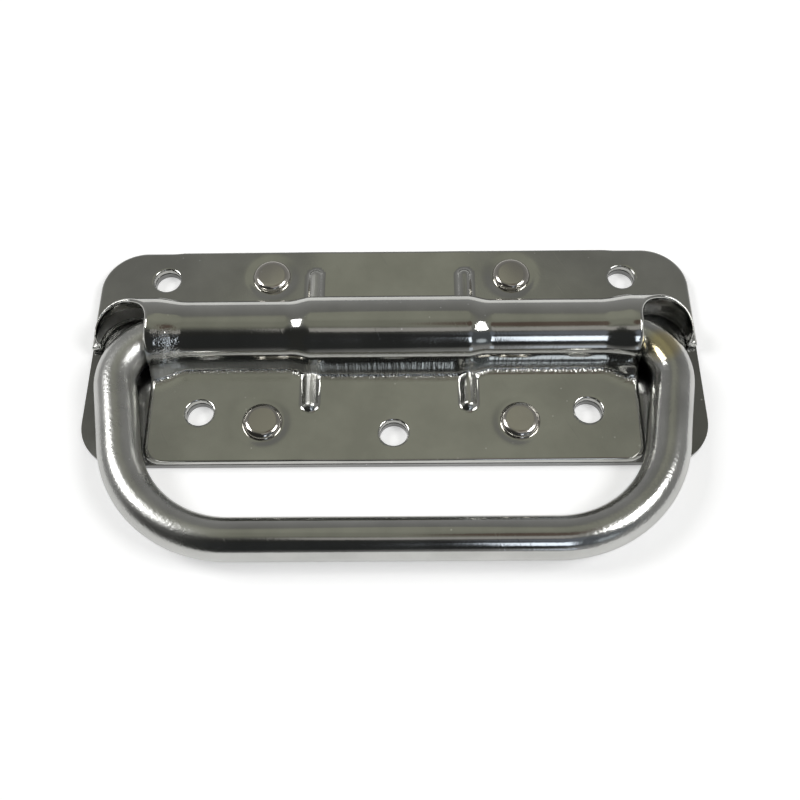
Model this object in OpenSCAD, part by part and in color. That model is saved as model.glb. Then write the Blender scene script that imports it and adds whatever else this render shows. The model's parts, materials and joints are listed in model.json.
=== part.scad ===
// Sprung chest handle: two pressed sheets riveted together and one bent round bar.
// Millimetres. The origin is the centre of the back plate's rear face.
// X runs along the plate, Y towards the upper flange and Z out of the mounting wall.

/* [Plates] */
// Length of the back plate and of the cover's upper flange
plate_w = 120; // [110:1:150]
// Height of the back plate
plate_h = 48; // [46:1:60]
// Corner radius of both sheets
corner_r = 9; // [4:0.5:12]
// Thickness of the back plate
back_t = 1.2; // [0.8:0.1:2]
// Thickness of the pressed cover
cover_t = 1.5; // [1:0.1:1.6]
// Radius of the lower flange's two corners
lower_corner_r = 2.8; // [1:0.1:5]

/* [Barrel] */
// Distance of the pivot from the middle of the plate
pivot_y = 2; // [0:0.1:4]
// Height of the pivot above the rear face
pivot_z = 5.5; // [5.3:0.1:7]
// Outer radius of the spring chamber in the middle
chamber_r = 7.25; // [6.8:0.05:8]
// Outer radius of the two necks that guide the bar
neck_r = 6; // [5.8:0.05:6.5]
// Outer radius of the two hoods at the ends
hood_r = 7.3; // [7:0.05:7.6]
// Where the spring chamber begins to narrow
chamber_x = 15.4; // [13:0.1:16]
// Where the neck begins
neck_in_x = 18.7; // [17.5:0.1:22]
// Length of the slope from a neck to its hood
hood_slope = 3.7; // [2:0.1:5]
// Length of a hood from its slope to the centre of its round end
hood_len = 7.1; // [5:0.1:8]
// Flange left between a hood's round end and the plate's edge
hood_edge = 0.9; // [0.6:0.1:2]

/* [Mouths] */
// Radius of the round top of each mouth
mouth_r = 5.5; // [5.3:0.1:5.6]
// Distance from the mouth to the plate's edge
mouth_edge = 1.7; // [1.4:0.1:3]
// How far the centre of the mouth's round top lies above the pivot
mouth_rise = 0.7; // [0.2:0.1:1.2]
// How far below the pivot the upper flange ends beside each mouth
flange_tip = 2.6; // [1:0.1:4]

/* [Ribs] */
// Distance of the ribs from the middle
rib_x = 15.2; // [14:0.1:18]
// Radius of a rib's rounded crest
rib_r = 1.7; // [1.2:0.1:2]
// Height of a rib above the flange
rib_h = 1; // [0.6:0.1:1.2]
// Length of the upper ribs from the pivot
rib_top_len = 15.6; // [12:0.1:17]
// Length of the lower ribs from the pivot
rib_low_len = 14; // [12:0.1:18]

/* [Holes and rivets] */
// Diameter of the five screw holes
hole_d = 5.3; // [4.5:0.1:6]
// Distance of the upper screw holes from the plate's ends
upper_hole_end = 13.5; // [10:0.1:16]
// Distance of the upper screw holes from the plate's upper edge
upper_hole_edge = 7; // [6:0.1:8]
// Distance of the lower screw holes from the lower flange's ends
lower_hole_end = 10.1; // [7:0.1:14]
// Distance of the lower screw holes from the plate's lower edge
lower_hole_edge = 10.4; // [8:0.1:11.5]
// Distance of the middle screw hole from the plate's lower edge
middle_hole_edge = 5.9; // [5:0.1:8]
// Distance of the rivets from the middle, along the plate
rivet_x = 24.5; // [22:0.1:28]
// Distance of the upper rivets from the plate's upper edge
rivet_top_edge = 7; // [6:0.1:9]
// Distance of the lower rivets from the plate's lower edge
rivet_low_edge = 7.7; // [6:0.1:9]
// Diameter of a rivet's head where it meets the flange
rivet_head_d = 7.4; // [6.5:0.1:8]
// Diameter of the flat top of a rivet's head
rivet_flat_d = 5.2; // [4:0.1:6]
// Height of a rivet's head
rivet_head_h = 1; // [0.6:0.1:1.4]
// Diameter of a rivet's shank
rivet_shank_d = 4; // [3:0.1:5]
// Diameter of the rivet's flush rear end
rivet_rear_d = 6; // [5:0.1:6.4]

/* [Handle] */
// Diameter of the round bar
bar_d = 8; // [7:0.1:8.2]
// How far the widest part of the bar's centre line lies outside the mouth's middle
spread = 0.8; // [0:0.1:1]
// Bend radius of the centre line beside the mouths
upper_bend_r = 8; // [7:0.1:9]
// Bend radius of the centre line at the grip
lower_bend_r = 22; // [14:0.5:26]
// Inward lean of the legs
leg_lean = 10; // [0:0.5:12]
// Straight length of each leg
leg_len = 15; // [12:0.5:40]

/* [Spring] */
// Wire diameter of the return spring
wire_d = 1.6; // [1.2:0.1:1.6]
// Turns in each of the spring's two coils
coil_turns = 5; // [3:1:6]
// Distance of the first turn from the middle
coil_x = 2.2; // [1.5:0.1:3]
// How far neighbouring turns press into each other
turn_overlap = 0.1; // [0.05:0.05:0.2]
// Clearance between the spring and the sheets around it
spring_gap = 0.15; // [0.05:0.05:0.3]
// Clearance between the loop of the spring and the back plate
loop_gap = 0.02; // [0.01:0.01:0.1]
// Clearance between the coils and the bar's ends
end_gap = 0.4; // [0.2:0.1:1]
// Clearance of the wire in the slots of the bar's ends
slot_gap = 0.2; // [0.1:0.1:0.4]
// How far short of the bar's surface the wire ends in its slot
tang_short = 0.5; // [0.2:0.1:1]

/* [Hidden] */
$fn = 96;
over = 1;
flange_top = back_t + cover_t;
mouth_x = plate_w / 2 - mouth_edge - mouth_r;
mouth_y = pivot_y + mouth_rise;
flange_tip_y = pivot_y - flange_tip;
lower_half_w = mouth_x - mouth_r;
dome_x = plate_w / 2 - hood_edge - hood_r;
hood_x = dome_x - hood_len;
neck_out_x = hood_x - hood_slope;
upper_hole_x = plate_w / 2 - upper_hole_end;
upper_hole_y = plate_h / 2 - upper_hole_edge;
lower_hole_x = lower_half_w - lower_hole_end;
lower_hole_y = lower_hole_edge - plate_h / 2;
middle_hole_y = middle_hole_edge - plate_h / 2;
rivet_top_y = plate_h / 2 - rivet_top_edge;
rivet_low_y = rivet_low_edge - plate_h / 2;
rib_top_y = pivot_y + rib_top_len;
rib_low_y = pivot_y - rib_low_len;
coil_pitch = wire_d - turn_overlap;
coil_end_x = coil_x + (coil_turns - 1) * coil_pitch;
coil_r = pivot_z - back_t - wire_d / 2 - loop_gap;
loop_y = chamber_r - cover_t - wire_d / 2 - spring_gap;
bar_end_x = coil_end_x + wire_d / 2 + end_gap;
tang_x = bar_end_x + wire_d / 2 + slot_gap;
slot_w = wire_d + slot_gap;
slot_depth = wire_d + 3 * slot_gap;
tang_low = tang_short - bar_d / 2;
ease = 0.1;
lap = 0.4;
upper_bend_x = mouth_x + spread - upper_bend_r;
leg_out = (upper_bend_r - lower_bend_r) * cos(leg_lean) - leg_len * sin(leg_lean);
leg_down = (upper_bend_r - lower_bend_r) * sin(leg_lean) + leg_len * cos(leg_lean);
lower_bend_x = upper_bend_x + leg_out;
grip_y = pivot_y - upper_bend_r - leg_down - lower_bend_r;
hole_spots = [
    [-upper_hole_x, upper_hole_y],
    [upper_hole_x, upper_hole_y],
    [-lower_hole_x, lower_hole_y],
    [lower_hole_x, lower_hole_y],
    [0, middle_hole_y]
];
rivet_spots = [
    [-rivet_x, rivet_top_y],
    [rivet_x, rivet_top_y],
    [-rivet_x, rivet_low_y],
    [rivet_x, rivet_low_y]
];

// Radius of the barrel along the plate, made smaller by inset for its inner surface.
function half_line(inset) = [
    [chamber_x, chamber_r - inset],
    [neck_in_x, neck_r - inset],
    [neck_out_x, neck_r - inset],
    [hood_x, hood_r - inset],
    [dome_x, hood_r - inset]
];
function mirrored(line) = [for (i = [len(line) - 1:-1:0]) [-line[i][0], line[i][1]]];
function full_line(inset) = concat(mirrored(half_line(inset)), half_line(inset));

module plate_outline() {
    for (x = [-1, 1], y = [-1, 1])
        translate([x * (plate_w / 2 - corner_r), y * (plate_h / 2 - corner_r)]) circle(r = corner_r);
    square([plate_w, plate_h - 2 * corner_r], center = true);
    square([plate_w - 2 * corner_r, plate_h], center = true);
}

// What is cut from the cover's right side: the mouth and the part below the flange's tip.
module mouth_outline() {
    translate([mouth_x, mouth_y]) circle(r = mouth_r);
    translate([mouth_x - mouth_r, -plate_h]) square([2 * mouth_r, plate_h + mouth_y]);
    translate([lower_half_w, -plate_h]) square([plate_w, plate_h + flange_tip_y]);
    translate([lower_half_w - lower_corner_r, -plate_h / 2]) difference() {
        translate([0, -over]) square([lower_corner_r + over, lower_corner_r + over]);
        translate([0, lower_corner_r]) circle(r = lower_corner_r);
    }
}

module screw_holes() {
    for (p = hole_spots) translate([p[0], p[1], -over]) cylinder(d = hole_d, h = flange_top + 2 * over);
}

// One rivet: flat-topped head in front, shank, and a rear end spread flush with the back.
module rivet() {
    translate([0, 0, flange_top]) cylinder(d1 = rivet_head_d, d2 = rivet_flat_d, h = rivet_head_h);
    cylinder(d = rivet_shank_d, h = flange_top);
    cylinder(d1 = rivet_rear_d, d2 = rivet_shank_d, h = (rivet_rear_d - rivet_shank_d) / 2);
}

// The barrel as a solid: half round on top, upright sides below, round at both ends.
module barrel_form(inset, low) {
    line = full_line(inset);
    ends = [[0, dome_x], [0, -dome_x]];
    round_half = concat([for (p = line) [p[1], p[0]]], ends);
    plan = concat(line, [for (i = [len(line) - 1:-1:0]) [line[i][0], -line[i][1]]]);
    translate([0, pivot_y, pivot_z]) rotate([90, 0, 90]) rotate_extrude(angle = 180) polygon(round_half);
    translate([0, pivot_y, low]) linear_extrude(height = pivot_z - low) polygon(plan);
    for (x = [-dome_x, dome_x]) {
        translate([x, pivot_y, low]) cylinder(r = hood_r - inset, h = pivot_z - low);
        translate([x, pivot_y, pivot_z]) rotate_extrude() intersection() {
            circle(r = hood_r - inset);
            square(hood_r);
        }
    }
}

// One pressed rib with a round end, running away from the pivot to the level end_y.
module rib_form(end_y, r, z) {
    len_y = end_y - pivot_y;
    translate([0, pivot_y + min(len_y, 0), z]) rotate([-90, 0, 0]) cylinder(r = r, h = abs(len_y));
    translate([0, end_y, z]) sphere(r = r);
}

module ribs(r, z) {
    for (x = [-rib_x, rib_x], y = [rib_top_y, rib_low_y]) translate([x, 0, 0]) rib_form(y, r, z);
}

module above(z) {
    intersection() {
        children();
        translate([-plate_w, -plate_w, z]) cube([2 * plate_w, 2 * plate_w, plate_w]);
    }
}

module back_plate() {
    color([0.62, 0.62, 0.6]) difference() {
        linear_extrude(height = back_t) plate_outline();
        screw_holes();
        for (p = rivet_spots) translate([p[0], p[1], 0]) rivet();
    }
}

module cover() {
    color([0.72, 0.72, 0.69]) difference() {
        union() {
            translate([0, 0, back_t]) linear_extrude(height = cover_t) plate_outline();
            barrel_form(0, back_t);
            above(back_t) ribs(rib_r, flange_top + rib_h - rib_r);
        }
        barrel_form(cover_t, 0);
        ribs(rib_r / 2, back_t);
        linear_extrude(height = plate_h) mouth_outline();
        mirror([1, 0, 0]) linear_extrude(height = plate_h) mouth_outline();
        screw_holes();
        for (p = rivet_spots) translate([p[0], p[1], 0]) rivet();
    }
}

// Right half of the bar: its end in the spring chamber, the upper bend, the leg and the lower bend.
module half_bar() {
    translate([bar_end_x, pivot_y, pivot_z]) rotate([0, 90, 0])
        cylinder(d = bar_d - ease, h = upper_bend_x - bar_end_x + lap);
    translate([upper_bend_x, pivot_y - upper_bend_r, pivot_z]) rotate([0, 0, -leg_lean]) {
        rotate_extrude(angle = 90 + leg_lean) translate([upper_bend_r, 0]) circle(d = bar_d);
        translate([upper_bend_r, 0, 0]) rotate([90, 0, 0]) cylinder(d = bar_d, h = leg_len);
        translate([upper_bend_r - lower_bend_r, -leg_len, 0])
            rotate_extrude(angle = 90 - leg_lean, start = leg_lean - 90) translate([lower_bend_r, 0]) circle(d = bar_d);
    }
}

module handle() {
    color([0.66, 0.66, 0.63]) difference() {
        union() {
            half_bar();
            mirror([1, 0, 0]) half_bar();
            translate([-lower_bend_x - lap, grip_y, pivot_z]) rotate([0, 90, 0])
                cylinder(d = bar_d - ease, h = 2 * (lower_bend_x + lap));
        }
        translate([0, pivot_y, pivot_z])
            cube([2 * (bar_end_x + slot_depth), slot_w, bar_d + 2 * over], center = true);
    }
}

// Right half of the spring: a coil, its cross tang in the bar's slot and half of the bearing loop.
module half_spring() {
    for (i = [0:coil_turns - 1]) translate([coil_x + i * coil_pitch, 0, 0]) rotate([0, 90, 0])
        rotate_extrude() translate([coil_r, 0]) circle(d = wire_d);
    translate([coil_end_x, 0, coil_r]) rotate([0, 90, 0]) cylinder(d = wire_d, h = tang_x - coil_end_x);
    translate([tang_x, 0, coil_r]) sphere(d = wire_d);
    translate([tang_x, 0, tang_low]) cylinder(d = wire_d, h = coil_r - tang_low);
    translate([coil_x, 0, -coil_r]) rotate([-90, 0, 0]) cylinder(d = wire_d, h = loop_y);
    translate([coil_x, loop_y, -coil_r]) sphere(d = wire_d);
    translate([0, loop_y, -coil_r]) rotate([0, 90, 0]) cylinder(d = wire_d, h = coil_x);
}

module return_spring() {
    color([0.35, 0.36, 0.38]) translate([0, pivot_y, pivot_z]) {
        half_spring();
        mirror([1, 0, 0]) half_spring();
    }
}

module rivets() {
    color([0.74, 0.74, 0.71]) for (p = rivet_spots) translate([p[0], p[1], 0]) rivet();
}

back_plate();
cover();
handle();
return_spring();
rivets();
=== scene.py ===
import json
import math

import bmesh
import bpy
import numpy as np
from mathutils import Matrix, Vector


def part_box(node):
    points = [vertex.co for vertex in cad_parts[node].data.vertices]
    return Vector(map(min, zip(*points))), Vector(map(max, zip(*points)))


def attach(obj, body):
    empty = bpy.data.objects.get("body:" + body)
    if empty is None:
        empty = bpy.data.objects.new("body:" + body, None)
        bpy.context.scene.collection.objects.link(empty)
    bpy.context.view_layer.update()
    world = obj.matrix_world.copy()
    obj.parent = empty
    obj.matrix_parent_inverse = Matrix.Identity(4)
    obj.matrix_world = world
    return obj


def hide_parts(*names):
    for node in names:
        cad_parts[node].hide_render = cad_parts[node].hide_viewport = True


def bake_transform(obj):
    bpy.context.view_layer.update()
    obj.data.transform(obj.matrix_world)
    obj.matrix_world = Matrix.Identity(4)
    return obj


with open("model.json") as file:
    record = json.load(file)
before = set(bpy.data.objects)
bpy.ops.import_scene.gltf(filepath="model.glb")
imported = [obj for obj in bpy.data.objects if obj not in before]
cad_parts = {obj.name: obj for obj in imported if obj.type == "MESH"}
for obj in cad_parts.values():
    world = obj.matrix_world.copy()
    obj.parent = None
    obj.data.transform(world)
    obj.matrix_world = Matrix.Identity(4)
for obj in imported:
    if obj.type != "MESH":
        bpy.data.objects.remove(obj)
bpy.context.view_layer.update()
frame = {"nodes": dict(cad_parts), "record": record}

# Lengths are millimetres, unless a name ends in _M for metres or _UM for micrometres.
# MM and UM turn millimetres and micrometres into Blender's metres.
MM, UM = 0.001, 1e-6

# Main sizes, read from the frame
plate_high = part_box("back_plate")[1] / MM
cover_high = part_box("cover")[1] / MM
HALF_W, HALF_H, BACK_T = plate_high
joint = frame["record"]["behaviour"]["joints"][0]
PIVOT_Y = joint["pos_m"][1] / MM
PIVOT_Z = joint["pos_m"][2] / MM

# Pressed sheets
COVER_T = 1.5
FLANGE_TOP = BACK_T + COVER_T
CORNER_R = 9.0
CUT_CORNER_R, LOWER_CORNER_R = 0.4, 3.2
EDGE_R = 0.4
FOOT_R = 0.5
FOOT_LIFT, FOOT_REACH, FOOT_CURVE = 0.36, 3.1, 2.6

# Barrel
BARREL_Y = PIVOT_Y + 0.1
HOOD_R = cover_high.z - PIVOT_Z
CHAMBER_R = HOOD_R + 0.05
NECK_R = 6.55
CHAMBER_X, NECK_IN_X = 15.1, 19.9
NECK_OUT_X, HOOD_X = 40.1, 46.5
DOME_X = 51.25
PRESS_SHIFT_X = -0.8
MOUTH_R = 5.25
MOUTH_X, MOUTH_Y = 52.7, PIVOT_Y - 0.4
LOWER_HALF_W = MOUTH_X - MOUTH_R
FLANGE_TIP_Y = PIVOT_Y - 1.2

# Forms that pressing leaves: how large, where they start and the run over which they grow
UNDERCUT, UNDERCUT_X, UNDERCUT_RUN = 0.7, 10.0, 30.0
CHAMBER_SKIRT, HOOD_SKIRT = 0.5, 1.6
SKIRT_Y, SKIRT_RUN = PIVOT_Y - 2.0, 3.0
PUCKER_H, PUCKER_REACH = 0.035, 4.5
PUCKER_Y, PUCKER_RUN = PIVOT_Y - 1.5, 2.0
ROLLED_EDGE, ROLLED_MOUTH = 0.7, 0.35
ROLL_X, ROLL_X_RUN = 43.0, 3.0
ROLL_Y, ROLL_Y_RUN = -1.5, 4.0
DISH_DEPTH, DISH_RUN = 0.16, 1.1
RIB_BULGE, RIB_BULGE_RUN = 0.07, 4.5

# Waves in the puckers, in radians per millimetre along x, y and z, and slow waves in the flanges
PUCKER_WAVES = ((2.6, 0.0, 0.5), (0.0, -1.3, 1.9))
WAVE_H, WAVE_X, WAVE_Y = 0.03, 9.0, 6.0
WAVE_X_PHASE, WAVE_Y_PHASE = 0.4, 1.0

# Ribs, holes and rivets
RIB_X, RIB_R, RIB_H, RIB_FILLET_R = 15.2, 1.7, 1.0, 0.5
RIB_ENDS = (PIVOT_Y + 15.6, PIVOT_Y - 14.0)
UPPER_ROW_Y = 17.0
UPPER_HOLE_X = 46.5
LOWER_HOLE_X, LOWER_HOLE_Y = 37.2, -13.6
MIDDLE_HOLE_Y = -18.1
HOLE_R = 2.65
HOLES = [
    (-UPPER_HOLE_X, UPPER_ROW_Y), (UPPER_HOLE_X, UPPER_ROW_Y),
    (-LOWER_HOLE_X, LOWER_HOLE_Y), (LOWER_HOLE_X, LOWER_HOLE_Y), (0.0, MIDDLE_HOLE_Y),
]
RIVET_X, LOWER_RIVET_Y = 24.5, -16.3
RIVETS = [(x, y) for y in (UPPER_ROW_Y, LOWER_RIVET_Y) for x in (-RIVET_X, RIVET_X)]
RIVET_HEAD_R, RIVET_FLAT_R, RIVET_HEAD_H = 3.85, 2.35, 1.1
RIVET_SHANK_R, RIVET_REAR_R = 2.0, 3.0
HEAD_SHIFT, HEAD_SINK = (-0.5, 0.6), 0.1
HEAD_UNDER_Z, SHANK_END_Z = FLANGE_TOP - 0.25, FLANGE_TOP - 0.3
RIVET_SIDES, SHOULDER_POINTS = 48, 15

# Handle
BAR_R = 4.0
BAR_END_X = 9.4
UPPER_BEND_R, LOWER_BEND_R = 10.0, 22.0
LEG_LEN = 12.62
LEAN = math.radians(10.0)
SPREAD_X = 53.22
SLOT_W, SLOT_DEPTH, SLOT_MARGIN = 1.8, 2.2, 1.0
BAR_STEP, BAR_SIDES = 0.7, 56
END_POINTS, GRIP_POINTS = 40, 30

# Return spring, from the pivot
WIRE_R, WIRE_GAP = 0.8, 0.02
WIRE_STEP, WIRE_EASINGS, WIRE_SIDES = 0.25, 8, 16
COIL_TURNS, COIL_POINTS = 3.5, 200
COIL_X, COIL_END_X = 2.2, 8.2
COIL_R = PIVOT_Z - BACK_T - WIRE_R - WIRE_GAP
LOOP_Y = 4.8
TANG_X, TANG_REACH = BAR_END_X + 1.0, 3.5

# Eased edges of the back plate
EASE_W, EASE_ANGLE, EASE_SEGMENTS = 0.2, math.radians(50.0), 2

# Grid on which the cover's surface is found
GRID_MARGIN, GRID_BELOW = 0.7, 0.55
BARREL_REACH, SHEET_REACH = 9.0, 0.6
HOOD_STEP, MIDDLE_STEP = 0.3, 0.45
FLANGE_STEP, BARREL_STEP = 0.5, 0.36
SHEET_STEP, RISE_STEP = 0.33, 0.4
SETTLE_STEPS, SETTLE_LIMIT = 3, 0.2
SLOPE_STEP, LEAST_SLOPE, NEVER_ZERO = 0.02, 0.3, 1e-9


# Mesh helpers

def new_object(name, verts_mm, faces, slot, material):
    """A smooth piece with one material, from vertices in millimetres."""
    mesh = bpy.data.meshes.new(name)
    mesh.from_pydata((np.asarray(verts_mm) * MM).tolist(), [], faces)
    mesh.polygons.foreach_set("use_smooth", [True] * len(mesh.polygons))
    mesh.update()
    obj = bpy.data.objects.new(name, mesh)
    bpy.context.scene.collection.objects.link(obj)
    obj.data.materials.append(material)
    return obj


def cut_box(obj, centre_mm, size_mm):
    """Takes a box out of a closed mesh for good."""
    mesh = bpy.data.meshes.new("cutter")
    shape = bmesh.new()
    stretch = Matrix.Diagonal((*(Vector(size_mm) * MM), 1.0))
    place = Matrix.Translation(Vector(centre_mm) * MM) @ stretch
    bmesh.ops.create_cube(shape, size=1.0, matrix=place)
    shape.to_mesh(mesh)
    shape.free()
    cutter = bpy.data.objects.new("cutter", mesh)
    bpy.context.scene.collection.objects.link(cutter)
    cut = obj.modifiers.new("cut", "BOOLEAN")
    cut.operation, cut.solver, cut.object = "DIFFERENCE", "EXACT", cutter
    depsgraph = bpy.context.evaluated_depsgraph_get()
    left_over = bpy.data.meshes.new_from_object(obj.evaluated_get(depsgraph))
    obj.modifiers.clear()
    obj.data = left_over
    bpy.data.objects.remove(cutter)


def ring_faces(rings, sides):
    """Quads between rings of vertices that follow each other, and a cap on each end."""
    faces = []
    for i in range(rings - 1):
        for k in range(sides):
            n = (k + 1) % sides
            faces.append((i * sides + k, i * sides + n, (i + 1) * sides + n, (i + 1) * sides + k))
    faces.append(tuple(reversed(range(sides))))
    faces.append(tuple((rings - 1) * sides + k for k in range(sides)))
    return faces


def tube(path, radius, sides):
    """Rings of vertices round a path, with closed ends and no twist along it."""
    ahead = np.gradient(path, axis=0)
    ahead /= np.linalg.norm(ahead, axis=1, keepdims=True)
    turns = np.arange(sides)[:, None] * 2 * math.pi / sides
    up = np.array([0.0, 0.0, 1.0])
    rings = []
    for point, along in zip(path, ahead):
        up = up - along * (up @ along)
        up /= np.linalg.norm(up)
        rings.append(point + radius * (np.cos(turns) * np.cross(up, along) + np.sin(turns) * up))
    return np.concatenate(rings), ring_faces(len(path), sides)


def smooth_min(a, b, r):
    """Union of two fields with a round fillet of radius r between them."""
    u = np.maximum(r - a, 0.0)
    v = np.maximum(r - b, 0.0)
    return np.maximum(r, np.minimum(a, b)) - np.sqrt(u * u + v * v)


def smooth_max(a, b, r):
    """Overlap of two fields with an edge of radius r where they meet."""
    return -smooth_min(-a, -b, r)


def smooth_step(t):
    """Goes from 0 to 1 as t does, level at both ends."""
    t = np.clip(t, 0.0, 1.0)
    return t * t * (3.0 - 2.0 * t)


def value_and_slope(field, p):
    """About how far points p are from the surface of field, and its unit gradient there."""
    x, y, z = p.T
    h = SLOPE_STEP
    g = np.stack([
        field(x + h, y, z) - field(x - h, y, z),
        field(x, y + h, z) - field(x, y - h, z),
        field(x, y, z + h) - field(x, y, z - h),
    ], axis=1)
    size = np.maximum(np.linalg.norm(g, axis=1, keepdims=True), NEVER_ZERO)
    return field(x, y, z) / np.maximum(size[:, 0] / (2 * h), LEAST_SLOPE), g / size


def crossings(f, grid, axis):
    """Which grid edges along an axis cross the surface, where, and the field at their start."""
    lo, hi = [slice(None)] * 3, [slice(None)] * 3
    lo[axis], hi[axis] = slice(0, -1), slice(1, None)
    a, b = f[tuple(lo)], f[tuple(hi)]
    cut = (a < 0) != (b < 0)
    t = np.where(cut, a / np.where(a == b, 1.0, a - b), 0.0)[..., None]
    return cut, grid[tuple(lo)] * (1 - t) + grid[tuple(hi)] * t, a


def outward_quads(cut, start, index, axis):
    """A quad of the four cells round each crossed edge, wound to face outwards."""
    o1, o2 = [k for k in range(3) if k != axis]
    core = [slice(1, -1)] * 3
    core[axis] = slice(None)
    at = np.argwhere(cut[tuple(core)])
    at[:, [o1, o2]] += 1
    corners = []
    for d1, d2 in ((-1, -1), (0, -1), (0, 0), (-1, 0)):
        cell = at.copy()
        cell[:, o1] += d1
        cell[:, o2] += d2
        corners.append(index[tuple(cell.T)])
    quad = np.stack(corners, axis=1)
    turned = (start[tuple(at.T)] < 0) == (axis == 1)
    quad[turned] = quad[turned][:, ::-1]
    return quad


def surface_mesh(field, xs, ys, zs):
    """A quad mesh on the zero surface of field, with a vertex in each grid cell that it crosses.

    Gives the vertices, the faces and the normal at each vertex.
    """
    gx, gy, gz = np.meshgrid(xs, ys, zs, indexing="ij")
    f = field(gx, gy, gz)
    grid = np.stack([gx, gy, gz], axis=-1)
    cells = tuple(n - 1 for n in f.shape)
    index = np.arange(np.prod(cells)).reshape(cells)
    total = np.zeros((*cells, 3))
    count = np.zeros(cells)
    faces = []
    for axis in range(3):
        cut, point, start = crossings(f, grid, axis)
        faces.append(outward_quads(cut, start, index, axis))

        # Each cell gathers the crossings on its own edges
        o1, o2 = [k for k in range(3) if k != axis]
        for d1 in (0, 1):
            for d2 in (0, 1):
                edge = [slice(None)] * 3
                edge[o1] = slice(d1, cells[o1] + d1)
                edge[o2] = slice(d2, cells[o2] + d2)
                inside = cut[tuple(edge)]
                total += np.where(inside[..., None], point[tuple(edge)], 0.0)
                count += inside

    # Cells in use keep their vertex, which starts at the mean crossing and settles on the surface
    used, faces = np.unique(np.concatenate(faces), return_inverse=True)
    faces = faces.reshape(-1, 4)
    verts = (total.reshape(-1, 3) / np.maximum(count.reshape(-1, 1), 1))[used]
    for _ in range(SETTLE_STEPS):
        value, slope = value_and_slope(field, verts)
        verts = verts - slope * np.clip(value, -SETTLE_LIMIT, SETTLE_LIMIT)[:, None]
    return verts, faces, value_and_slope(field, verts)[1]


# Materials

class Nodes:
    """A node tree with short calls for the nodes used here."""

    def __init__(self, tree):
        self.nodes, self.links = tree.nodes, tree.links

    def add(self, kind, inputs=None, **settings):
        node = self.nodes.new(kind)
        for key, value in settings.items():
            setattr(node, key, value)
        for key, value in (inputs or {}).items():
            socket = node.inputs[key]
            if isinstance(value, bpy.types.NodeSocket):
                self.links.new(value, socket)
            else:
                socket.default_value = value
        return node

    def noise(self, vector, scale, detail):
        inputs = {"Vector": vector, "Scale": scale, "Detail": detail}
        return self.add("ShaderNodeTexNoise", inputs).outputs["Fac"]

    def remap(self, value, low, high, to_low=0.0, to_high=1.0, smooth=False):
        inputs = {"Value": value, "From Min": low, "From Max": high}
        inputs.update({"To Min": to_low, "To Max": to_high})
        kind = "SMOOTHSTEP" if smooth else "LINEAR"
        return self.add("ShaderNodeMapRange", inputs, interpolation_type=kind).outputs["Result"]

    def math(self, operation, *values):
        return self.add("ShaderNodeMath", dict(enumerate(values)), operation=operation).outputs[0]

    def measure(self, operation, *vectors):
        """A number worked out from vectors, such as a length or a dot product."""
        node = self.add("ShaderNodeVectorMath", dict(enumerate(vectors)), operation=operation)
        return node.outputs["Value"]

    def mix(self, factor, a, b):
        return self.add("ShaderNodeMix", {0: factor, 6: a, 7: b}, data_type="RGBA").outputs[2]

    def bump(self, height, depth_um, strength=1.0, below=None):
        inputs = {"Height": height, "Strength": strength, "Distance": depth_um * UM}
        if below is not None:
            inputs["Normal"] = below
        return self.add("ShaderNodeBump", inputs).outputs["Normal"]

    def mapped(self, vector, **lie):
        return self.add("ShaderNodeMapping", {"Vector": vector, **lie}).outputs["Vector"]

    def split(self, vector):
        return self.add("ShaderNodeSeparateXYZ", {"Vector": vector}).outputs

    def marked(self, name):
        return self.add("ShaderNodeAttribute", attribute_name=name).outputs["Fac"]


# Each noise's scale per metre and its detail, or its stretch along each axis
CLOUD, WAVE, GRAIN = (110.0, 4.0), (70.0, 1.0), (2600.0, 3.0)
BENT_GRAIN, CRUMBS = (1700.0, 3.0), (2300.0, 2.0)
DUST_SCALE = 330.0
SCUFF_TURN, SCUFF_STRETCH, SCUFF_DETAIL = math.radians(62.0), (70.0, 1900.0, 400.0), 1.0
STREAK_STRETCH, STREAK_DETAIL = (2400.0, 60.0, 60.0), 3.0

# The values of a noise between which its effect grows, and how strong that is
CLOUD_TINT, CLOUD_SHINE, DULL_SHARE = (0.35, 0.65), (0.3, 0.7), 0.86
DUST_TINT, DUST_EDGE, DUST_GREY = (0.03, 0.07), (0.02, 0.09), 0.82
DUST_UM, DUST_BUMP = 3.0, 0.5
SCUFF_EDGE, SCUFF_UM, SCUFF_BUMP = (0.69, 0.76), 6.0, 0.6

# The bar is coarser towards its bends and duller on the left, with a painted warm reflection on its right
# bend
BEND_X_M, WORN_X_M = (26.0 * MM, 40.0 * MM), (-30.0 * MM, 30.0 * MM)
STRAIGHT_GRAIN, WORN_LEFT, WORN_RIGHT = 0.12, 0.18, 0.08
WARM_AT_M, WARM_R_M = (51.3 * MM, -3.2 * MM, 9.1 * MM), 4.2 * MM
WARM_REFLECTION_TINT, WARM_CORE = (0.66, 0.58, 0.36), 0.4

# The drawn cover's walls, foot and inside
FOOT_MARK, INSIDE_MARK = "foot", "inside"
FOOT_MARK_OUT, FOOT_MARK_UP = 1.3, 0.8
FROST, FROST_RUN = 0.25, 0.5
INSIDE_RUN = 0.3
WALL_FOOT_M = ((FLANGE_TOP + 0.3) * MM, (FLANGE_TOP + 1.0) * MM)
WALL_TOP_M = ((PIVOT_Z + 1.5) * MM, PIVOT_Z * MM)
STREAK_X_M, CHAMBER_STREAK_UM, NECK_STREAK_UM = (15.0 * MM, 19.0 * MM), 190.0, 90.0
CRUMB_UM = 380.0
FOOT_DULL, INSIDE_DULL = 0.08, 0.08
DULL_X_M, DULL_LEFT, DULL_RIGHT = (-22.0 * MM, 12.0 * MM), 0.32, 0.05


def grey(level, tint=(1.0, 1.0, 1.0)):
    return (level * tint[0], level * tint[1], level * tint[2], 1.0)


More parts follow.
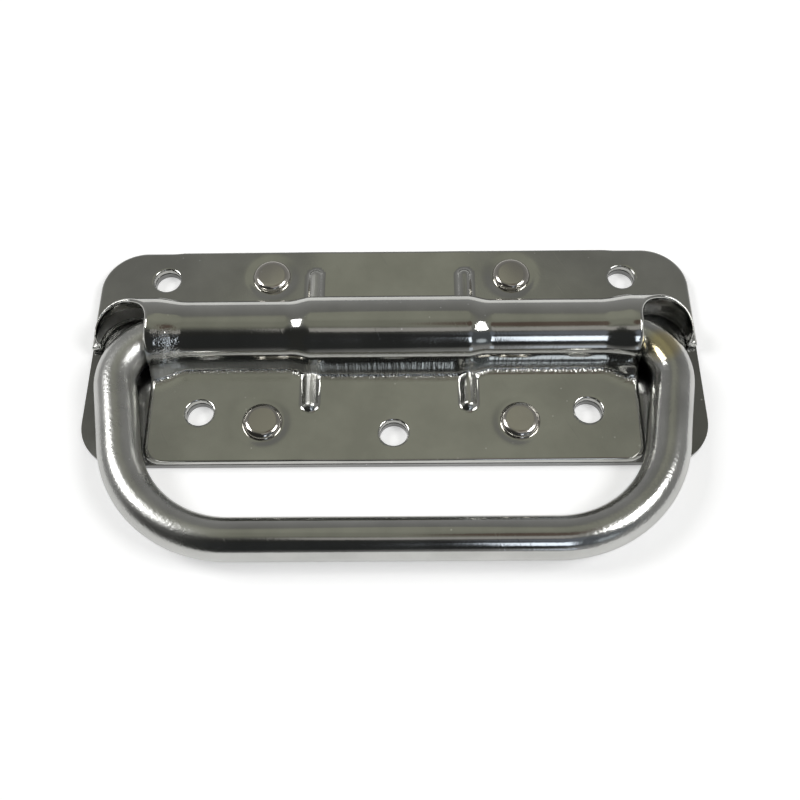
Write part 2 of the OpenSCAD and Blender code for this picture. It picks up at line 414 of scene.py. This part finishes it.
def plated_colour(tree, place, cloud, dust, tint, painted_warm_reflection):
    """Cloudy plating with specks of dust, and a painted warm reflection where the piece has one."""
    dull = tuple(c * DULL_SHARE for c in tint)
    colour = tree.mix(tree.remap(cloud, *CLOUD_TINT), (*dull, 1.0), (*tint, 1.0))
    colour = tree.mix(tree.remap(dust, *DUST_TINT), grey(DUST_GREY), colour)
    if painted_warm_reflection:
        # Painted warm reflection: the colour is tinted warm round one spot on the bar's right bend
        away = tree.measure("DISTANCE", place, WARM_AT_M)
        warm_reflection_share = tree.remap(away, WARM_R_M, WARM_R_M * WARM_CORE, smooth=True)
        colour = tree.mix(warm_reflection_share, colour, (*WARM_REFLECTION_TINT, 1.0))
    return colour


def bent_surface(tree, place, rough):
    """Grain and roughness of a bar that is coarse where it was bent."""
    along = tree.split(place)["X"]
    bend = tree.remap(tree.math("ABSOLUTE", along), *BEND_X_M, smooth=True)
    share = tree.remap(bend, 0.0, 1.0, STRAIGHT_GRAIN, 1.0)
    grain = tree.math("MULTIPLY", tree.noise(place, *BENT_GRAIN), share)
    worn = tree.remap(along, *WORN_X_M, WORN_LEFT, WORN_RIGHT)
    return grain, tree.math("ADD", rough, tree.math("MULTIPLY", bend, worn))


def drawn_surface(tree, place, rough, normal):
    """Roughness and normal of a sheet with streaked walls, a crumbly foot and a dull inside."""
    sides = tree.split(place)
    above_foot, below_top = (tree.remap(sides["Z"], *ends) for ends in (WALL_FOOT_M, WALL_TOP_M))
    wall = tree.math("MULTIPLY", above_foot, below_top)
    foot, inside = tree.marked(FOOT_MARK), tree.marked(INSIDE_MARK)

    streaks = tree.noise(tree.mapped(place, Scale=STREAK_STRETCH), 1.0, STREAK_DETAIL)
    from_middle = tree.math("ABSOLUTE", sides["X"])
    deepest_um = tree.remap(from_middle, *STREAK_X_M, CHAMBER_STREAK_UM, NECK_STREAK_UM)
    streaks_um = tree.math("MULTIPLY", tree.math("MULTIPLY", streaks, wall), deepest_um)
    normal = tree.bump(streaks_um, 1.0, below=normal)
    crumbs = tree.math("MULTIPLY", tree.noise(place, *CRUMBS), foot)
    normal = tree.bump(crumbs, CRUMB_UM, below=normal)

    wall_dull = tree.remap(sides["X"], *DULL_X_M, DULL_LEFT, DULL_RIGHT, smooth=True)
    for area, dull in ((foot, FOOT_DULL), (inside, INSIDE_DULL), (wall, wall_dull)):
        rough = tree.math("ADD", rough, tree.math("MULTIPLY", area, dull))
    return rough, normal


def chrome(name, tint, shine, grain_um=3.0, wave_um=8.0, drawn=False, bent=False):
    """Bright plated steel, with cloudy patches, dust, scuffs, slow waves and a fine grain.

    shine is the lowest and highest roughness. drawn is for the cover and bent for the bar.
    """
    mat = bpy.data.materials.new(name)
    mat.use_nodes = True
    tree = Nodes(mat.node_tree)
    shader = tree.nodes["Principled BSDF"]
    shader.inputs["Metallic"].default_value = 1.0
    place = tree.add("ShaderNodeTexCoord").outputs["Object"]
    cloud = tree.noise(place, *CLOUD)
    dust = tree.add("ShaderNodeTexVoronoi", {"Vector": place, "Scale": DUST_SCALE}).outputs["Distance"]
    colour = plated_colour(tree, place, cloud, dust, tint, painted_warm_reflection=bent)
    tree.links.new(colour, shader.inputs["Base Color"])

    rough = tree.remap(cloud, *CLOUD_SHINE, *shine)
    if bent:
        grain, rough = bent_surface(tree, place, rough)
    else:
        grain = tree.noise(place, *GRAIN)
    lie = tree.mapped(tree.mapped(place, Rotation=(0.0, 0.0, SCUFF_TURN)), Scale=SCUFF_STRETCH)
    scuffs = tree.remap(tree.noise(lie, 1.0, SCUFF_DETAIL), *SCUFF_EDGE)
    normal = tree.bump(tree.noise(place, *WAVE), wave_um)
    normal = tree.bump(grain, grain_um, below=normal)
    normal = tree.bump(tree.remap(dust, *DUST_EDGE), DUST_UM, DUST_BUMP, below=normal)
    normal = tree.bump(scuffs, SCUFF_UM, SCUFF_BUMP, below=normal)
    if drawn:
        rough, normal = drawn_surface(tree, place, rough, normal)
    tree.links.new(rough, shader.inputs["Roughness"])
    tree.links.new(normal, shader.inputs["Normal"])
    return mat


cover_chrome = chrome("cover_chrome", (0.62, 0.62, 0.59), (0.06, 0.12), grain_um=5.0, drawn=True)
# The back plate's tint is darker than the cover's: painted shade, standing in for the shadow and the dark
# reflection of the bar on the plate
plate_chrome = chrome("plate_chrome", (0.32, 0.32, 0.315), (0.12, 0.22))
bar_chrome = chrome("bar_chrome", (0.62, 0.62, 0.60), (0.08, 0.13), grain_um=45.0, bent=True)
rivet_chrome = chrome("rivet_chrome", (0.68, 0.65, 0.60), (0.10, 0.18), wave_um=3.0)
spring_steel = chrome("spring_steel", (0.34, 0.35, 0.37), (0.25, 0.40))


# Pressed cover

def shoulder(x):
    """0 on the chamber, 1 on the necks beside it."""
    return smooth_step((np.abs(x - PRESS_SHIFT_X) - CHAMBER_X) / (NECK_IN_X - CHAMBER_X))


def flare(x):
    """0 on the necks, 1 on the hoods at the ends."""
    return smooth_step((np.abs(x) - NECK_OUT_X) / (HOOD_X - NECK_OUT_X))


def barrel_radius(x):
    return CHAMBER_R + (NECK_R - CHAMBER_R) * shoulder(x) + (HOOD_R - NECK_R) * flare(x)


def skirt(x, y, z):
    """How far the front wall spreads towards its foot, under the chamber and the hoods."""
    low = smooth_step((PIVOT_Z - z) / (PIVOT_Z - FLANGE_TOP))
    front = smooth_step((SKIRT_Y - y) / SKIRT_RUN)
    return low * front * (CHAMBER_SKIRT * (1.0 - shoulder(x)) + HOOD_SKIRT * flare(x))


def puckered(x, y):
    """1 in the middle of the left flare's front, which pressing left rough, and 0 away from it."""
    middle = (NECK_OUT_X + HOOD_X) / 2
    near = smooth_step(1.0 - np.abs(x + middle) / PUCKER_REACH)
    return near * smooth_step((PUCKER_Y - y) / PUCKER_RUN)


def wrinkle(x, y, z):
    """Small waves that cross each other in the puckered place."""
    one, other = (np.sin(a * x + b * y + c * z) for a, b, c in PUCKER_WAVES)
    return PUCKER_H * puckered(x, y) * one * other


def barrel_field(x, y, z, inset):
    """The barrel with its round ends, walls that go straight down and a left wall tucked under."""
    past = np.maximum(np.abs(x) - DOME_X, 0.0)
    tuck = UNDERCUT * np.clip((UNDERCUT_X - x) / UNDERCUT_RUN, 0.0, 1.0)
    over = np.maximum(z - PIVOT_Z, 0.0) + tuck * np.minimum(z - PIVOT_Z, 0.0)
    from_axis = np.sqrt(past ** 2 + (y - BARREL_Y) ** 2 + over ** 2)
    return from_axis - barrel_radius(x) - skirt(x, y, z) - wrinkle(x, y, z) + inset


def plan_field(x, y):
    """Outline of the cover seen from the front, with the mouths and the cut-back sides left out."""
    ax = np.abs(x)
    qx = ax - (HALF_W - CORNER_R)
    qy = np.abs(y) - (HALF_H - CORNER_R)
    outside = np.hypot(np.maximum(qx, 0), np.maximum(qy, 0))
    plate = outside + np.minimum(np.maximum(qx, qy), 0) - CORNER_R
    ux = np.abs(ax - MOUTH_X)
    mouth = np.where(y > MOUTH_Y, np.hypot(ux, y - MOUTH_Y), ux) - MOUTH_R
    side = np.maximum(LOWER_HALF_W - ax, y - FLANGE_TIP_Y)
    cut = np.minimum(mouth, side)
    return smooth_max(plate, -cut, np.where(y < -HALF_H / 2, LOWER_CORNER_R, CUT_CORNER_R))


def rivet_dish(x, y):
    """How far the flange is drawn down round each rivet."""
    depth = 0.0
    for rx, ry in RIVETS:
        away = np.hypot(x - rx - HEAD_SHIFT[0], y - ry - HEAD_SHIFT[1])
        depth = depth + DISH_DEPTH * np.exp(-((away - RIVET_HEAD_R) / DISH_RUN) ** 2)
    return depth


def sheet_wave(x, y):
    """Small bulges that pressing leaves in the flanges, highest beside the ribs."""
    rib = RIB_BULGE * np.exp(-((np.abs(x - PRESS_SHIFT_X) - RIB_X) / RIB_BULGE_RUN) ** 2)
    return rib + WAVE_H * np.sin(x / WAVE_X + WAVE_X_PHASE) * np.sin(y / WAVE_Y + WAVE_Y_PHASE)


def rib_field(x, y, z, end_y):
    """A round-ended rib on each side of the chamber, from the barrel to end_y."""
    off_x = np.abs(x - PRESS_SHIFT_X) - RIB_X
    off_y = y - np.clip(y, min(end_y, PIVOT_Y), max(end_y, PIVOT_Y))
    off_z = z - (FLANGE_TOP + RIB_H - RIB_R)
    return np.sqrt(off_x ** 2 + off_y ** 2 + off_z ** 2) - RIB_R


def rolled(x, y):
    """How much rounder the cover's edge is near its ends than elsewhere."""
    low = smooth_step((ROLL_Y - y) / ROLL_Y_RUN)
    near_end = smooth_step((np.abs(x) - ROLL_X) / ROLL_X_RUN)
    return (ROLLED_EDGE * low + ROLLED_MOUTH * (1.0 - low)) * near_end


def cover_field(x, y, z):
    """The whole pressed sheet, cut to its outline and holes."""
    out = np.clip(barrel_field(x, y, FLANGE_TOP, 0.0) / FOOT_REACH, 0, 1)
    lift = FOOT_LIFT * (1 - out) ** FOOT_CURVE
    flange = z - FLANGE_TOP + rivet_dish(x, y) - sheet_wave(x, y) - lift
    outer = smooth_min(flange, barrel_field(x, y, z, 0.0), FOOT_R)
    for end_y in RIB_ENDS:
        outer = smooth_min(outer, rib_field(x, y, z, end_y), RIB_FILLET_R)
    inner = smooth_min(z - BACK_T, barrel_field(x, y, z, COVER_T), FOOT_R + COVER_T)
    sheet = np.maximum(outer, -inner)
    sheet = smooth_max(sheet, plan_field(x, y), EDGE_R + rolled(x, y))
    for hx, hy in HOLES:
        sheet = smooth_max(sheet, HOLE_R - np.hypot(x - hx, y - hy), EDGE_R)
    for rx, ry in RIVETS:
        sheet = np.maximum(sheet, RIVET_SHANK_R - np.hypot(x - rx, y - ry))
    return sheet


def spaced(stops, steps):
    """Grid lines from stop to stop, each stretch with its own step."""
    out = [stops[0]]
    for a, b, step in zip(stops, stops[1:], steps):
        n = max(1, round((b - a) / step))
        out += [a + (b - a) * (i + 1) / n for i in range(n)]
    return np.array(out)


def cover_marks(verts):
    """Marks for the material: the crumbly foot with the frosty puckers, and the barrel's inside."""
    x, y, z = verts.T
    from_wall = np.maximum(barrel_field(x, y, FLANGE_TOP, 0.0), 0.0)
    from_flange = np.maximum(z - FLANGE_TOP, 0.0)
    foot = np.clip(1.0 - from_wall / FOOT_MARK_OUT, 0, 1)
    foot = foot * np.clip(1.0 - from_flange / FOOT_MARK_UP, 0, 1)
    frost = FROST * puckered(x, y) * np.clip(from_flange / FROST_RUN, 0, 1)
    depth_in = -barrel_field(x, y, z, 0.0)
    inside = np.clip((depth_in - COVER_T / 2) / INSIDE_RUN, 0, 1) * (z > FLANGE_TOP)
    return {FOOT_MARK: np.maximum(foot, frost), INSIDE_MARK: inside}


reach_x, reach_y = HALF_W + GRID_MARGIN, HALF_H + GRID_MARGIN
grid_x = spaced([-reach_x, -HOOD_X, HOOD_X, reach_x], [HOOD_STEP, MIDDLE_STEP, HOOD_STEP])
grid_y = spaced(
    [-reach_y, PIVOT_Y - BARREL_REACH, PIVOT_Y + BARREL_REACH, reach_y],
    [FLANGE_STEP, BARREL_STEP, FLANGE_STEP],
)
grid_z = spaced(
    [BACK_T - GRID_BELOW, FLANGE_TOP + SHEET_REACH, cover_high.z + GRID_MARGIN],
    [SHEET_STEP, RISE_STEP],
)
verts, faces, normals = surface_mesh(cover_field, grid_x, grid_y, grid_z)
cover = new_object("pressed_cover", verts, faces.tolist(), "cover_chrome", cover_chrome)
cover.data.normals_split_custom_set_from_vertices(normals.tolist())
for name, values in cover_marks(verts).items():
    mark = cover.data.attributes.new(name, "FLOAT", "POINT")
    mark.data.foreach_set("value", values)
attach(cover, "plate")
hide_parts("cover")


# Handle

def arc(centre, radius, start, end):
    """Points along the bar on an arc between two angles, without the first one."""
    angles = np.linspace(start, end, round(abs(end - start) * radius / BAR_STEP))[1:]
    return [tuple(centre + radius * np.array([math.cos(a), math.sin(a)])) for a in angles]


def bar_path():
    """Centre line of the right half of the bar, from its end in the barrel to mid grip."""
    bend_x = SPREAD_X - UPPER_BEND_R
    points = [(x, PIVOT_Y) for x in np.linspace(BAR_END_X, bend_x, END_POINTS)]
    points += arc(np.array([bend_x, PIVOT_Y - UPPER_BEND_R]), UPPER_BEND_R, math.pi / 2, -LEAN)
    start = np.array(points[-1])
    along = np.array([-math.sin(LEAN), -math.cos(LEAN)])
    leg = np.linspace(0, LEG_LEN, round(LEG_LEN / BAR_STEP))[1:]
    points += [tuple(start + along * d) for d in leg]
    centre = np.array(points[-1]) - LOWER_BEND_R * np.array([math.cos(LEAN), -math.sin(LEAN)])
    points += arc(centre, LOWER_BEND_R, -LEAN, -math.pi / 2)
    grip_y = points[-1][1]
    points += [(x, grip_y) for x in np.linspace(centre[0], 0, GRIP_POINTS)[1:]]
    return np.array(points)


right = bar_path()
left = right * np.array([-1.0, 1.0])
bar_line = np.concatenate([left, right[::-1][1:]])
bar_line = np.column_stack([bar_line, np.full(len(bar_line), PIVOT_Z)])
handle = new_object("bent_bar", *tube(bar_line, BAR_R, BAR_SIDES), "bar_chrome", bar_chrome)
slot_size = (2 * (BAR_END_X + SLOT_DEPTH), SLOT_W, 2 * (BAR_R + SLOT_MARGIN))
cut_box(handle, (0.0, PIVOT_Y, PIVOT_Z), slot_size)
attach(handle, "grip")
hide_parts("handle")


# Return spring

def spring_path():
    """Wire of the right half from the pivot: half the bearing loop, the coil and the tang in the slot."""
    turn = np.linspace(0.0, COIL_TURNS, COIL_POINTS)
    angle = -math.pi / 2 - 2 * math.pi * turn
    coil_x = COIL_X + (COIL_END_X - COIL_X) * turn / COIL_TURNS
    coil = np.stack([coil_x, COIL_R * np.cos(angle), COIL_R * np.sin(angle)], axis=1)
    loop = [(0.0, LOOP_Y, -COIL_R), (COIL_X, LOOP_Y, -COIL_R)]
    tang = [(TANG_X, 0.0, COIL_R), (TANG_X, 0.0, -TANG_REACH)]
    corners = np.concatenate([loop, coil, tang])
    run = np.concatenate([[0.0], np.cumsum(np.linalg.norm(np.diff(corners, axis=0), axis=1))])
    even = np.linspace(0.0, run[-1], round(run[-1] / WIRE_STEP))
    wire = np.stack([np.interp(even, run, corners[:, k]) for k in range(3)], axis=1)
    for _ in range(WIRE_EASINGS):
        wire[1:-1] = (wire[:-2] + 2 * wire[1:-1] + wire[2:]) / 4
    return wire


for name, side in (("spring_right", 1.0), ("spring_left", -1.0)):
    wire = spring_path() * np.array([side, 1.0, 1.0]) + np.array([0.0, PIVOT_Y, PIVOT_Z])
    spring = new_object(name, *tube(wire, WIRE_R, WIRE_SIDES), "spring_steel", spring_steel)
    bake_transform(spring)
    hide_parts("return_spring")


# Rivets

def rivet_profile():
    """Half a rivet's outline, as radius and height, from its flush rear end to its flat head."""
    rear = [
        (RIVET_REAR_R, 0.0), (RIVET_SHANK_R, RIVET_REAR_R - RIVET_SHANK_R),
        (RIVET_SHANK_R, SHANK_END_Z), (RIVET_HEAD_R, HEAD_UNDER_Z),
    ]
    top, rise = FLANGE_TOP + RIVET_HEAD_H, RIVET_HEAD_H + HEAD_SINK
    slope = RIVET_HEAD_R - RIVET_FLAT_R
    angles = np.linspace(math.pi / 2, 0, SHOULDER_POINTS)
    head = [(RIVET_FLAT_R + slope * math.sin(a), top - rise * (1 - math.cos(a))) for a in angles]
    return rear + head


def lathe(profile, centre, sides):
    """Turns a rivet's outline about its centre, with the head set a little to one side."""
    verts = []
    for r, z in profile:
        shift = HEAD_SHIFT if z >= SHANK_END_Z else (0.0, 0.0)
        mid_x, mid_y = centre[0] + shift[0], centre[1] + shift[1]
        for k in range(sides):
            a = 2 * math.pi * k / sides
            verts.append((mid_x + r * math.cos(a), mid_y + r * math.sin(a), z))
    return verts, ring_faces(len(profile), sides)


verts, faces = [], []
for spot in RIVETS:
    rivet_verts, rivet_faces = lathe(rivet_profile(), spot, RIVET_SIDES)
    faces += [tuple(i + len(verts) for i in face) for face in rivet_faces]
    verts += rivet_verts
rivets = new_object("flat_rivets", verts, faces, "rivet_chrome", rivet_chrome)
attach(rivets, "plate")
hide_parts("rivets")


# Back plate, which keeps its mesh from the frame

back_plate = frame["nodes"]["back_plate"]
back_plate.data.materials.clear()
back_plate.data.materials.append(plate_chrome)
bevel = back_plate.modifiers.new("eased_edges", "BEVEL")
bevel.width = EASE_W * MM
bevel.segments = EASE_SEGMENTS
bevel.limit_method = "ANGLE"
bevel.angle_limit = EASE_ANGLE
bevel.harden_normals = True


# Floor

FLOOR_SIZE_M, FLOOR_DROP_M = 6.0, 0.2 * MM
FLOOR_FADE_M, MIRROR_FADE_M = (0.25, 1.6), (0.16, 0.45)
FLOOR_GLOW, FLOOR_FAR_GLOW = 0.45, 0.15
FLOOR_GREY, MIRRORED_SHARE = 0.8, 0.62


def floor_material():
    """Pale near the object for the camera and in reflections, grey far off, and it takes shadow."""
    mat = bpy.data.materials.new("pale_floor")
    mat.use_nodes = True
    tree = Nodes(mat.node_tree)
    tree.nodes.clear()
    path = tree.add("ShaderNodeLightPath").outputs
    mirrored = tree.math("MAXIMUM", path["Is Glossy Ray"], path["Is Transmission Ray"])
    away = tree.measure("LENGTH", tree.add("ShaderNodeTexCoord").outputs["Object"])
    seen_glow = tree.remap(away, *FLOOR_FADE_M, FLOOR_GLOW, FLOOR_FAR_GLOW, smooth=True)
    mirror_glow = tree.remap(away, *MIRROR_FADE_M, FLOOR_GLOW * MIRRORED_SHARE, 0.0, smooth=True)
    seen = tree.math("MULTIPLY", path["Is Camera Ray"], seen_glow)
    level = tree.math("ADD", seen, tree.math("MULTIPLY", mirrored, mirror_glow))
    emit = tree.add("ShaderNodeEmission", {"Strength": level})
    matt = tree.add("ShaderNodeBsdfDiffuse", {"Color": grey(FLOOR_GREY)})
    both = tree.add("ShaderNodeAddShader", {0: matt.outputs[0], 1: emit.outputs[0]})
    tree.add("ShaderNodeOutputMaterial", {"Surface": both.outputs[0]})
    return mat


half = FLOOR_SIZE_M / 2
corners = [(-half, -half, 0.0), (half, -half, 0.0), (half, half, 0.0), (-half, half, 0.0)]
mesh = bpy.data.meshes.new("floor")
mesh.from_pydata(corners, [], [(0, 1, 2, 3)])
floor = bpy.data.objects.new("floor", mesh)
floor.location.z = -FLOOR_DROP_M
bpy.context.scene.collection.objects.link(floor)
floor.data.materials.append(floor_material())


# Light: a dim room with grey walls, an olive ceiling, a dark front and window panes, and two lamps

WALL_GREY, CEILING_GREY, CEILING_TINT = 0.32, 0.195, (1.0, 1.0, 0.95)
CEILING_FULL = 0.8
OLIVE = (1.0, 1.01, 0.84)
ROOM = (
    # zenith, azimuth, inner and outer angle of the patch in degrees, level, tint
    (8.0, 90.0, 14.0, 34.0, 0.250, OLIVE),
    (22.0, 92.0, 5.0, 17.0, 0.300, OLIVE),
    (34.0, 90.5, 3.5, 7.0, 0.300, OLIVE),
    (57.0, -125.0, 27.0, 52.0, 0.030, (1.0, 1.02, 0.95)),
    (56.0, -96.0, 19.0, 25.0, 0.030, (0.95, 1.0, 1.0)),
    (55.0, -55.0, 14.0, 28.0, 0.10, (0.9, 1.0, 1.1)),
    (9.5, -20.0, 5.0, 10.0, 0.10, (1.25, 0.95, 0.78)),
    (36.0, -70.0, 3.0, 10.0, 0.18, (0.92, 1.0, 1.18)),
    (65.0, -53.0, 2.0, 8.0, 0.70, (0.84, 0.92, 1.0)),
)
PANES = (
    # azimuth in degrees, half width as a sine, lower and upper edge in degrees from the zenith, level, tint
    (-79.0, 0.180, 26.0, 15.0, 0.42, (1.0, 0.97, 0.93)),
    (-78.0, 0.080, 61.0, 46.0, 2.00, (0.86, 0.94, 1.07)),
    (-78.0, 0.090, 87.0, 79.0, 0.80, (0.86, 0.94, 1.07)),
)
PANE_SOFT, PANE_SOFT_DEG, PANE_AHEAD = 0.02, 2.0, (0.0, 0.2)
LAMPS = (
    # name, zenith and azimuth in degrees, size in metres, brightness as seen in a mirror
    ("left_lamp", 41.0, 168.0, (0.36, 0.34), 9.0),
    ("right_lamp", 38.0, -12.0, (0.42, 0.32), 9.0),
)


def towards(zenith_deg, azimuth_deg):
    """Unit vector at an angle from straight up, turned from +X towards +Y."""
    t, a = math.radians(zenith_deg), math.radians(azimuth_deg)
    return Vector((math.sin(t) * math.cos(a), math.sin(t) * math.sin(a), math.cos(t)))


def cosines(*angles_deg):
    return [math.cos(math.radians(angle)) for angle in angles_deg]


def softbox(name, zenith, azimuth, size_m, level):
    """A rectangular lamp one metre off, facing the object."""
    light = bpy.data.lights.new(name, "AREA")
    light.shape = "RECTANGLE"
    light.size, light.size_y = size_m
    light.energy = level * math.pi * size_m[0] * size_m[1]
    obj = bpy.data.objects.new(name, light)
    obj.location = towards(zenith, azimuth)
    obj.rotation_euler = (-obj.location).to_track_quat("-Z", "Y").to_euler()
    bpy.context.scene.collection.objects.link(obj)


world = bpy.data.worlds.new("studio")
bpy.context.scene.world = world
world.use_nodes = True
room = Nodes(world.node_tree)
room.nodes.clear()
look = room.add("ShaderNodeTexCoord").outputs["Generated"]
height = room.split(look)["Z"]
ceiling = room.remap(height, 0.0, CEILING_FULL)
shade = room.mix(ceiling, grey(WALL_GREY), grey(CEILING_GREY, CEILING_TINT))
for zenith, azimuth, inner, outer, level, tint in ROOM:
    near = room.measure("DOT_PRODUCT", look, towards(zenith, azimuth))
    inside = room.remap(near, *cosines(outer, inner), smooth=True)
    shade = room.mix(inside, shade, grey(level, tint))
for azimuth, width, low, high, level, tint in PANES:
    beside = room.measure("DOT_PRODUCT", look, towards(90.0, azimuth + 90.0))
    beside = room.math("ABSOLUTE", beside)
    inside = room.remap(beside, width + PANE_SOFT, width - PANE_SOFT, smooth=True)
    ahead = room.measure("DOT_PRODUCT", look, towards(90.0, azimuth))
    inside = room.math("MULTIPLY", inside, room.remap(ahead, *PANE_AHEAD))
    for edge, soft in ((high, PANE_SOFT_DEG), (low, -PANE_SOFT_DEG)):
        within = room.remap(height, *cosines(edge - soft, edge + soft))
        inside = room.math("MULTIPLY", inside, within)
    shade = room.mix(inside, shade, grey(level, tint))
back = room.add("ShaderNodeBackground", {"Color": shade})
room.add("ShaderNodeOutputWorld", {"Surface": back.outputs[0]})
for lamp in LAMPS:
    softbox(*lamp)


# Camera, fitted to the photograph

CAMERA_AT_M = Vector((2.99, -103.845, 176.963)) * MM
CAMERA_LOOK = Vector((-0.00907, 0.46945, -0.88291))
CAMERA_UP = Vector((0.00686, 0.88296, 0.46941))
CAMERA_RIGHT = CAMERA_LOOK.cross(CAMERA_UP)
FOCAL_PX, IMAGE_PX = 1027.5, 800
SENSOR_W, CLIP_START_M = 36.0, 0.01
data = bpy.data.cameras.new("camera")
data.sensor_width = SENSOR_W
data.lens = SENSOR_W * FOCAL_PX / IMAGE_PX
data.clip_start = CLIP_START_M
camera = bpy.data.objects.new("camera", data)
axes = Matrix((CAMERA_RIGHT, CAMERA_UP, -CAMERA_LOOK)).transposed()
camera.matrix_world = Matrix.Translation(CAMERA_AT_M) @ axes.to_4x4()
bpy.context.scene.collection.objects.link(camera)
bpy.context.scene.camera = camera
bpy.context.scene.view_settings.view_transform = "Standard"
